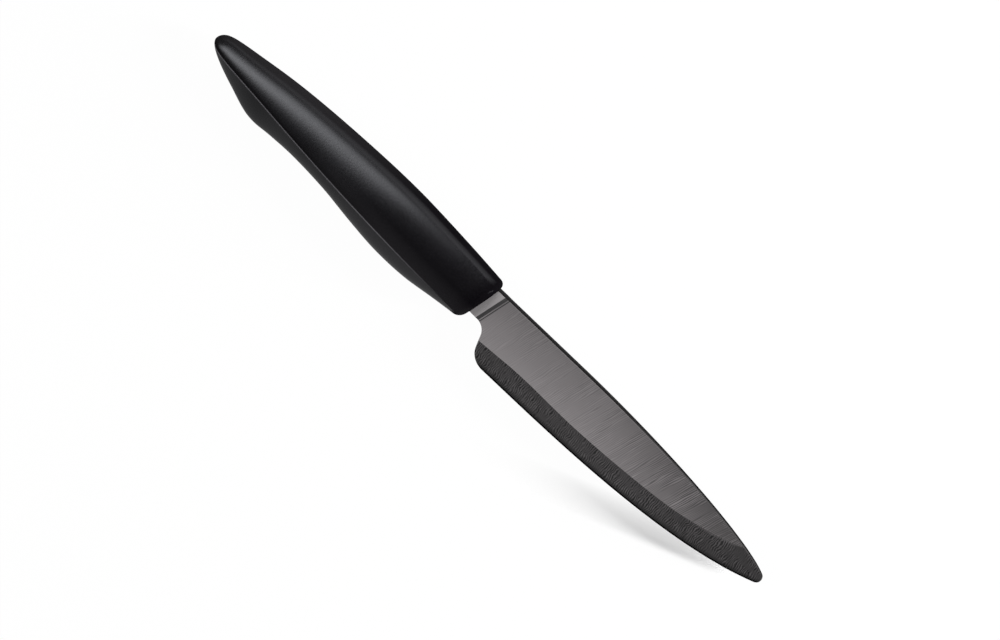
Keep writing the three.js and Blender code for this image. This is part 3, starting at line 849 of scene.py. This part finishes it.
def slot_cutter(nodes, given):
    """A block from the slot's low corner to its high corner, leaning as the handle's front face does."""
    low_x, low_y, low_z = nodes.parts(given.other("Slot Low"))
    high_x, high_y, high_z = nodes.parts(given.other("Slot High"))
    cube = nodes.add("GeometryNodeMeshCube", {
        "Size": nodes.vector(high_x - low_x, high_y - low_y, high_z - low_z),
    })
    x, y, z = nodes.parts(nodes.add("GeometryNodeInputPosition"))
    y = y + (low_y + high_y) / 2
    placed = nodes.vector(
        x + (low_x + high_x) / 2 + y * slant_slope + knife_origin.x,
        y + knife_origin.y,
        z + (low_z + high_z) / 2 + knife_origin.z,
    )
    return nodes.add("GeometryNodeSetPosition", {"Geometry": cube, "Position": placed})


def posts(nodes, given):
    """The posts of grip that pass through the core, one at each of their stations."""
    rod = nodes.add("GeometryNodeMeshCylinder", {
        "Vertices": POST_SIDES,
        "Radius": given.other("Post Diameter") / 2,
        "Depth": 1,
    })
    x = nodes.parts(nodes.add("GeometryNodeInputPosition"))[0]
    place = nodes.vector(x + knife_origin.x, given.other("Post Height") + knife_origin.y, knife_origin.z)
    points = nodes.add("GeometryNodeSetPosition", {
        "Geometry": of_kind(nodes, given, POST),
        "Position": place,
    })
    rods = nodes.add("GeometryNodeInstanceOnPoints", {
        "Points": points,
        "Instance": rod,
        "Scale": nodes.vector(1, 1, nodes.named("half_width") * 2 - GRIP_SKIN * MM),
    })
    return nodes.add("GeometryNodeRealizeInstances", {"Geometry": rods})


def grip_tree(material):
    tree = bpy.data.node_groups.new("moulded_grip", "GeometryNodeTree")
    tree.interface.new_socket("Geometry", in_out="OUTPUT", socket_type="NodeSocketGeometry")
    tree.interface.new_socket("Stations", in_out="INPUT", socket_type="NodeSocketGeometry")
    for name, kind in [("Around Outside", "NodeSocketInt"), ("Around Cavity", "NodeSocketInt"),
                       ("Slot Low", "NodeSocketVector"), ("Slot High", "NodeSocketVector"),
                       ("Post Diameter", "NodeSocketFloat"), ("Post Height", "NodeSocketFloat")]:
        tree.interface.new_socket(name, in_out="INPUT", socket_type=kind)
    nodes = Nodes(tree)
    given = nodes.add("NodeGroupInput")
    outside = lofted(nodes, of_kind(nodes, given, OUTSIDE), given.other("Around Outside"))
    cavity = lofted(nodes, of_kind(nodes, given, CAVITY), given.other("Around Cavity"))
    shell = boolean(nodes, "DIFFERENCE", outside, cavity)
    shell = boolean(nodes, "DIFFERENCE", shell, slot_cutter(nodes, given))
    shell = boolean(nodes, "UNION", shell, posts(nodes, given))
    shell = nodes.add("GeometryNodeRealizeInstances", {"Geometry": shell})
    shell = nodes.add("GeometryNodeSetMaterial", {"Geometry": shell, "Material": material})
    nodes.add("NodeGroupOutput", {"Geometry": shell})
    return tree


def mark_ridge(grip):
    x, y, _ = places_on(grip)
    share = np.clip(1 + (x - y * front_lean(x)) / HANDLE_LENGTH, 0, 1)
    keep_distance(grip, "below_ridge", line_at(HANDLE_LINES["ridge"], share) - y)


def make_grip():
    grip = link("moulded_grip", grip_station_mesh())
    tree = grip_tree(soft_touch_black())
    modifier = grip.modifiers.new("loft", "NODES")
    modifier.node_group = tree
    slot_top = spine_height_at(neck_rear(SPINE_HEIGHT) + FRONT_WALL) + FIT_GAP
    slot_half = TANG_THICKNESS / 2 + FIT_GAP
    settings = {
        "Around Outside": GRIP_AROUND,
        "Around Cavity": CAVITY_AROUND,
        "Slot Low": Vector((-FRONT_WALL - FIT_GAP, -NECK_DEPTH - FIT_GAP, -slot_half)) * MM,
        "Slot High": Vector((2 * FRONT_WALL, slot_top, slot_half)) * MM,
        "Post Diameter": LOCK_DIAMETER * MM,
        "Post Height": LOCK_HEIGHT * MM,
    }
    for item in tree.interface.items_tree:
        if item.name in settings:
            modifier[item.identifier] = settings[item.name]
    settle(grip, modifier)
    mark_ridge(grip)
    grip.data.shade_smooth()
    grip.data.set_sharp_from_angle(angle=math.radians(GRIP_CREASE))
    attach(grip, "root")
    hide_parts("soft_grip")


# Blade


def heading(degrees):
    return np.array([math.cos(math.radians(degrees)), math.sin(math.radians(degrees))])


def arc(centre, radius, start, end, count):
    turns = np.radians(np.linspace(start, end, count))
    return np.asarray(centre) + radius * np.column_stack([np.cos(turns), np.sin(turns)])


def bezier(start, start_reach, end_reach, end, count):
    t = np.linspace(0, 1, count)[:, None]
    rest = 1 - t
    return start * rest ** 3 + 3 * start_reach * t * rest ** 2 + 3 * end_reach * t ** 2 * rest + end * t ** 3


def leaned(*runs):
    """Runs of outline points as two columns: the place along the blade, less the slant, and the height."""
    points = np.concatenate([np.atleast_2d(run) for run in runs])
    return np.column_stack([points[:, 0] - points[:, 1] * slant_slope, points[:, 1]])


def blade_lines():
    """The blade's lines, each a height against the place along the blade."""
    tip = np.array([BLADE_LENGTH - TIP_RADIUS, -TIP_DROP])
    far = -FRONT_SLANT
    spine_start = np.array([SPINE_STRAIGHT, spine_height_at(SPINE_STRAIGHT)])
    spine_end = tip + TIP_RADIUS * heading(90 - SPINE_TIP_ANGLE)
    spine = bezier(
        spine_start,
        spine_start + SPINE_REAR_REACH * heading(SPINE_RISE_ANGLE),
        spine_end + SPINE_FRONT_REACH * heading(180 - SPINE_TIP_ANGLE),
        spine_end,
        SPINE_POINTS,
    )
    slope = heading(90 - HEEL_ANGLE)
    choil = np.array([CHOIL_START, -NECK_DEPTH - CHOIL_RADIUS])
    choil_end = choil + CHOIL_RADIUS * slope
    heel_y = HEEL_RADIUS * math.cos(math.radians(EDGE_RISE_ANGLE)) - EDGE_DEPTH
    straight = (choil_end[1] - heel_y + HEEL_RADIUS * slope[1]) / math.sin(math.radians(HEEL_ANGLE))
    heel = choil_end + straight * heading(-HEEL_ANGLE) + HEEL_RADIUS * slope
    edge_start = heel + HEEL_RADIUS * heading(EDGE_RISE_ANGLE - 90)
    edge_end = tip + TIP_RADIUS * heading(EDGE_TIP_ANGLE - 90)
    edge = bezier(
        edge_start,
        edge_start + EDGE_REAR_REACH * heading(EDGE_RISE_ANGLE),
        edge_end - EDGE_FRONT_REACH * heading(EDGE_TIP_ANGLE),
        edge_end,
        EDGE_POINTS,
    )
    whole_edge = np.concatenate([
        [edge_start - edge_start[0] * heading(EDGE_RISE_ANGLE)],
        edge,
        [edge_end + 2 * TIP_RADIUS * heading(EDGE_TIP_ANGLE)],
    ])
    grind_height = smooth_line(GRIND_LINE, np.clip(whole_edge[:, 0] / BLADE_LENGTH, 0, 1))
    grind = whole_edge + np.column_stack([0 * grind_height, grind_height])
    keen = whole_edge + np.array([0, EDGE_BEVEL])
    rear_top = (tang_end + TANG_CORNER, TANG_TOP - TANG_CORNER)
    rear_low = (tang_end + TANG_CORNER, TANG_CORNER - TANG_BOTTOM)
    return {
        "tang_top": leaned(
            arc(rear_top, TANG_CORNER, 180 + far, 90, CORNER_POINTS),
            (neck_rear(TANG_TOP), TANG_TOP),
        ),
        "tang_low": leaned(
            arc(rear_top, TANG_CORNER, 180 + far, 180, CORNER_START_POINTS),
            arc(rear_low, TANG_CORNER, 180, 270, CORNER_POINTS),
            (neck_rear(-TANG_BOTTOM), -TANG_BOTTOM),
        ),
        "top": leaned(
            (neck_rear(SPINE_HEIGHT), spine_height_at(neck_rear(SPINE_HEIGHT))),
            spine,
            arc(tip, TIP_RADIUS, 90 - SPINE_TIP_ANGLE, far, ROUND_POINTS),
        ),
        "low": leaned(
            (neck_rear(-NECK_DEPTH), -NECK_DEPTH),
            arc(choil, CHOIL_RADIUS, 90, 90 - HEEL_ANGLE, ROUND_POINTS),
            arc(heel, HEEL_RADIUS, 270 - HEEL_ANGLE, 270 + EDGE_RISE_ANGLE, ROUND_POINTS),
            edge[1:],
            arc(tip, TIP_RADIUS, EDGE_TIP_ANGLE - 90, far, ROUND_POINTS),
        ),
        "grind": leaned(grind),
        "keen": leaned(keen),
        "edge": leaned(whole_edge),
    }


def half_thickness(along):
    land = BLADE_THICKNESS + 2 * LAND_HEIGHT
    places = [tang_end, SHOULDER_START, LAND_START, LAND_END, FACE_START, TAPER_START, BLADE_LENGTH]
    whole = [TANG_THICKNESS, TANG_THICKNESS, land, land, BLADE_THICKNESS, BLADE_THICKNESS, TIP_THICKNESS]
    return np.interp(along, places, whole) / 2


def blade_rows(along, lines):
    """Heights and half thicknesses at the stations, in rows from the spine to the edge."""
    top, low, grind, keen, edge = (
        np.interp(along, *lines[name].T) for name in ("top", "low", "grind", "keen", "edge")
    )
    half = half_thickness(along)
    chamfer = np.minimum(SPINE_CHAMFER, CHAMFER_SHARE * (top - low))
    shoulder = top - chamfer
    grind_line = np.clip(grind, low, shoulder)
    keen_line = np.clip(keen, low, shoulder)
    face_steps = np.linspace(0, 1, FACE_ROWS + 1)
    grind_steps = np.linspace(0, 1, GRIND_ROWS + 1)[1:]
    heights = np.column_stack([
        top,
        *(shoulder + (grind_line - shoulder) * step for step in face_steps),
        *(grind_line + (keen_line - grind_line) * step for step in grind_steps),
        low,
    ])
    down_grind = np.clip((heights - keen[:, None]) / (grind - keen)[:, None], 0, 1)
    halves = EDGE_SHOULDER / 2 + (half[:, None] - EDGE_SHOULDER / 2) * down_grind
    down_keen = np.clip((heights - edge[:, None]) / EDGE_BEVEL, 0, 1)
    keen_halves = EDGE_THICKNESS / 2 + (EDGE_SHOULDER - EDGE_THICKNESS) / 2 * down_keen
    halves = np.where(heights < keen[:, None], keen_halves, halves)
    halves[:, 0] -= np.minimum(chamfer, halves[:, 0] / 2)
    return heights, halves


def blade_stations(lines):
    """Places along the blade that fall on each of its lines, close together where it curves."""
    spans = zip(STATION_ENDS, STATION_ENDS[1:], STATION_COUNTS)
    runs = [np.linspace(start, end, count)[:-1] for start, end, count in spans]
    tip_start = STATION_ENDS[-1]
    tip_end = lines["low"][-1, 0]
    tip_steps = 1 - np.linspace(1, 0, TIP_STATIONS) ** 2
    return np.concatenate([*runs, tip_start + (tip_end - tip_start) * tip_steps])


def region_of(along, row):
    """Which finish a face of the blade has, by its place along the blade and its row."""
    if row == 0:
        return CHAMFER
    if row > FACE_ROWS + GRIND_ROWS:
        return KEEN
    if row > FACE_ROWS:
        return GRIND
    if along < SHOULDER_START:
        return TANG
    if along < LAND_START or LAND_END < along < FACE_START:
        return RAMP
    return FACE


def blade_faces(along, rows):
    """The faces between the stations, on both sides, the spine and the edge, and the finish of each."""
    faces = []
    regions = []
    back = len(along) * rows
    for i in range(len(along) - 1):
        middle = (along[i] + along[i + 1]) / 2
        for r in range(rows - 1):
            a = i * rows + r
            b = a + rows
            region = region_of(middle, r)
            faces.append((a, a + 1, b + 1, b))
            faces.append((back + a, back + b, back + b + 1, back + a + 1))
            regions += [region, region]
        a = i * rows
        b = a + rows
        faces.append((a, b, back + b, back + a))
        faces.append((a + rows - 1, back + a + rows - 1, back + b + rows - 1, b + rows - 1))
        regions += [SPINE, region_of(middle, rows - 2)]
    return faces, regions


def weld(piece):
    built = bmesh.new()
    built.from_mesh(piece.data)
    bmesh.ops.remove_doubles(built, verts=built.verts, dist=WELD_REACH * MM)
    bmesh.ops.dissolve_degenerate(built, edges=built.edges, dist=SLIVER * MM)
    bmesh.ops.recalc_face_normals(built, faces=built.faces)
    built.to_mesh(piece.data)
    built.free()


def cut_keyhole(blade):
    """The round hole through the tang, which the bond's key fills."""
    bpy.ops.mesh.primitive_cylinder_add(
        vertices=KEYHOLE_SIDES,
        radius=KEYHOLE_DIAMETER / 2 * MM,
        depth=2 * TANG_THICKNESS * MM,
        location=knife_origin + Vector((-KEYHOLE_SETBACK, (TANG_TOP - TANG_BOTTOM) / 2, 0)) * MM,
    )
    drill = bpy.context.object
    modifier = blade.modifiers.new("keyhole", "BOOLEAN")
    modifier.operation = "DIFFERENCE"
    modifier.solver = "EXACT"
    modifier.object = drill
    settle(blade, modifier)
    bpy.data.objects.remove(drill)


def mark_lines(piece, lines):
    """Keeps at each point how far it is below the spine, and above the grind's top and the edge."""
    x, y, _ = places_on(piece)
    along = x - y * slant_slope
    for name, line, sign in [
        ("below_spine", "top", -1),
        ("above_grind", "grind", 1),
        ("above_edge", "edge", 1),
    ]:
        keep_distance(piece, name, sign * (y - np.interp(along, *lines[line].T)))


def make_blade():
    lines = blade_lines()
    neck = blade_stations(lines)
    heights, halves = blade_rows(neck, lines)
    rear = lines["tang_top"][0, 0]
    tang_steps = np.linspace(0, 1, TANG_STATIONS) ** 2
    tang = rear + (-FRONT_WALL - TANG_STEP_RUN - rear) * tang_steps
    tang_high = np.interp(tang, *lines["tang_top"].T)
    tang_low = np.interp(tang, *lines["tang_low"].T)
    tang_heights = np.clip(heights[0][None, :], tang_low[:, None], tang_high[:, None])
    along = np.concatenate([tang, neck])
    heights = np.concatenate([tang_heights, heights])
    halves = np.concatenate([np.full_like(tang_heights, TANG_THICKNESS / 2), halves])

    x = along[:, None] + heights * slant_slope
    near = np.stack([x, heights, halves], axis=2).reshape(-1, 3)
    far = np.stack([x, heights, -halves], axis=2).reshape(-1, 3)
    points = np.concatenate([near, far]) * MM + np.array(knife_origin)
    faces, regions = blade_faces(along, heights.shape[1])
    mesh = bpy.data.meshes.new("ground_blade")
    mesh.from_pydata([tuple(p) for p in points], [], faces)
    for material in blade_materials():
        mesh.materials.append(material)
    mesh.polygons.foreach_set("material_index", regions)
    blade = link("ground_blade", mesh)
    weld(blade)
    cut_keyhole(blade)
    mark_lines(blade, lines)
    blade.data.shade_smooth()
    blade.data.set_sharp_from_angle(angle=math.radians(BLADE_CREASE))
    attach(blade, "root")
    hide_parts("blade")


# Studio


def facing(place, right, toward):
    """A placing whose local Z looks along a direction, with its local X as near to another as it can be."""
    right = (right - toward * right.dot(toward)).normalized()
    turn = Matrix((right, toward.cross(right), toward)).transposed().to_4x4()
    return Matrix.Translation(place) @ turn


def make_camera():
    tilt = math.radians(CAMERA_TILT)
    roll = math.radians(CAMERA_ROLL)
    to_camera = Vector((0, math.sin(tilt), math.cos(tilt)))
    to_spine = Vector((0, math.cos(tilt), -math.sin(tilt)))
    picture_right = Vector((math.cos(roll), 0, 0)) + to_spine * math.sin(roll)
    data = bpy.data.cameras.new("camera")
    data.lens = CAMERA_LENS
    camera = link("camera", data)
    target = knife_origin + Vector((PICTURE_MIDDLE, 0, 0)) * MM
    away = PICTURE_WIDTH * MM * CAMERA_LENS / data.sensor_width
    camera.matrix_world = facing(target + to_camera * away, picture_right, to_camera)
    bpy.context.scene.camera = camera


def seen(nodes):
    """1 on rays by which the floor shows, in the picture or in a gloss, and 0 on those that light things."""
    path = nodes.add("ShaderNodeLightPath", output="Is Camera Ray")
    return nodes.clamp(path + path.other("Is Glossy Ray") + path.other("Is Transmission Ray"))


def make_floor():
    """A white floor. It shows the knife's shadow in a wedge near the tip and is plain white elsewhere."""
    reach = FLOOR_REACH * MM
    corners = [(-reach, -reach, 0), (reach, -reach, 0), (reach, reach, 0), (-reach, reach, 0)]
    mesh = bpy.data.meshes.new("studio_floor")
    mesh.from_pydata(corners, [], [(0, 1, 2, 3)])
    floor = link("studio_floor", mesh)
    made, nodes = new_material("pale_floor")
    x, y, _ = knife_place(nodes)
    back = WEDGE_TIP[0] - x
    down = WEDGE_TIP[1] - y
    turn = math.radians(WEDGE_TURN)
    along = back * math.cos(turn) + down * math.sin(turn)
    inside = back * math.sin(turn) - down * math.cos(turn)
    shown = nodes.ramp(along, *WEDGE_START) * nodes.ramp(along, *WEDGE_FADE)
    shown = shown * nodes.ramp(inside, *WEDGE_SIDE) * nodes.ramp(inside, *WEDGE_DEPTH)
    share = (1 - shown) * FLOOR_GLOW
    paint = nodes.add("ShaderNodeBsdfDiffuse", {"Color": FLOOR_PAINT})
    glow = nodes.add("ShaderNodeEmission", {"Color": WHITE, "Strength": 1})
    surface(nodes, nodes.mix(share * seen(nodes), paint, glow))
    mesh.materials.append(made)


def make_world():
    """A dim sky, a pale horizon on the edge's side, and a bright arch that gives the handle its sheen."""
    world = bpy.data.worlds.new("studio")
    bpy.context.scene.world = world
    world.use_nodes = True
    world.node_tree.nodes.clear()
    nodes = Nodes(world.node_tree)
    along, toward_spine, up = nodes.parts(nodes.add("ShaderNodeTexCoord", output="Generated"))
    low = nodes.ramp(up, *HORIZON_TOP) * nodes.ramp(toward_spine, *HORIZON_SIDE)
    plain = nodes.mix(low, nodes.background(OVERHEAD_LIGHT), nodes.background(HORIZON_LIGHT))
    turn = nodes.math("ARCTAN2", toward_spine, up)
    twist = along * math.radians(ARCH_TWIST) + nodes.clamp(along) * math.radians(ARCH_FRONT_TWIST)
    width = math.radians(ARCH_WIDTH) - nodes.ramp(along, *ARCH_NARROWS) * math.radians(ARCH_NARROWING)
    off_centre = (turn - (math.radians(ARCH_TURN) + twist)) / width
    bell = nodes.clamp(1 - off_centre * off_centre)
    reach = nodes.ramp(along, *ARCH_FRONT) ** ARCH_FRONT_FALL * nodes.ramp(along, *ARCH_BACK)
    sky = nodes.mix(bell * bell * reach, plain, nodes.background(ARCH_LIGHT))
    nodes.add("ShaderNodeOutputWorld", {"Surface": sky})


def make_lamp():
    """A soft strip light beyond the tip, which casts the shadow. Its power follows from its radiance."""
    data = bpy.data.lights.new("tip_strip", "AREA")
    data.shape = "RECTANGLE"
    data.size = LAMP_LENGTH * MM
    data.size_y = LAMP_HEIGHT * MM
    data.energy = LAMP_RADIANCE * LAMP_POWER_FACTOR * data.size * data.size_y
    lamp = link("tip_strip", data)
    toward = LAMP_TOWARD.normalized()
    lamp.matrix_world = facing(toward * LAMP_DISTANCE * MM, LAMP_ALONG, toward)


def make_studio():
    make_camera()
    make_floor()
    make_world()
    make_lamp()
    bpy.context.scene.view_settings.view_transform = "Standard"


make_studio()
make_grip()
make_blade()
for node, finish in [
    ("handle_core", mottled("core_plastic", CORE_COLOURS, scale=900, roughness=0.5)),
    ("tang_bond", mottled("bond_resin", BOND_COLOURS, scale=400, roughness=0.4)),
]:
    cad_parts[node].data.materials.clear()
    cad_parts[node].data.materials.append(finish)
